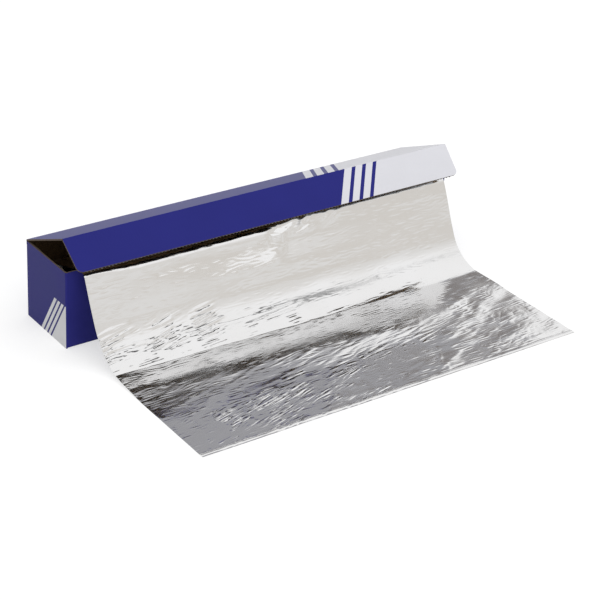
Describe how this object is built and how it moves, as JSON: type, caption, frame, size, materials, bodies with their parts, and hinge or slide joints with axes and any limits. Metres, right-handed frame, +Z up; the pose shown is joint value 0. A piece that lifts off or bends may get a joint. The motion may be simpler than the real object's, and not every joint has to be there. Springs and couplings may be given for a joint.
{
  "type": "aluminium foil roll",
  "caption": "Wide kitchen foil wound on a card core in a lidded corrugated carton, with a length of foil drawn out over the front wall onto the table.",
  "frame": {"origin": "centre of the carton's bottom face, on the surface that it stands on", "axes": "+X along the roll, to the right as seen from the front; -Y to the front, where the foil is drawn out; +Z up"},
  "size_m": [0.477, 0.3125, 0.1192],
  "materials": {
    "printed_board": "printed white-lined corrugated board, satin ink outside, plain kraft inside",
    "cutter_steel": "plain rolled steel strip",
    "core_card": "spirally wound grey-brown card",
    "foil": "bright rolled foil"
  },
  "bodies": {
    "carton_and_roll": {"carton": "printed_board", "core_tube": "core_card", "foil": "foil"},
    "lid": {"lid_panel": "printed_board"},
    "front_flap": {"lid_flap": "printed_board", "cutter_strip": "cutter_steel"}
  },
  "joints": [
    {"name": "lid_hinge", "type": "hinge", "parent": "carton_and_roll", "child": "lid", "pos_m": [0, 0.0392, 0.0856], "axis": [-1, 0, 0], "range_deg": [-4, 155]},
    {"name": "flap_crease", "type": "hinge", "parent": "lid", "child": "front_flap", "pos_m": [0, -0.03419, 0.11843], "axis": [-1, 0, 0], "range_deg": [-4, 65]}
  ]
}
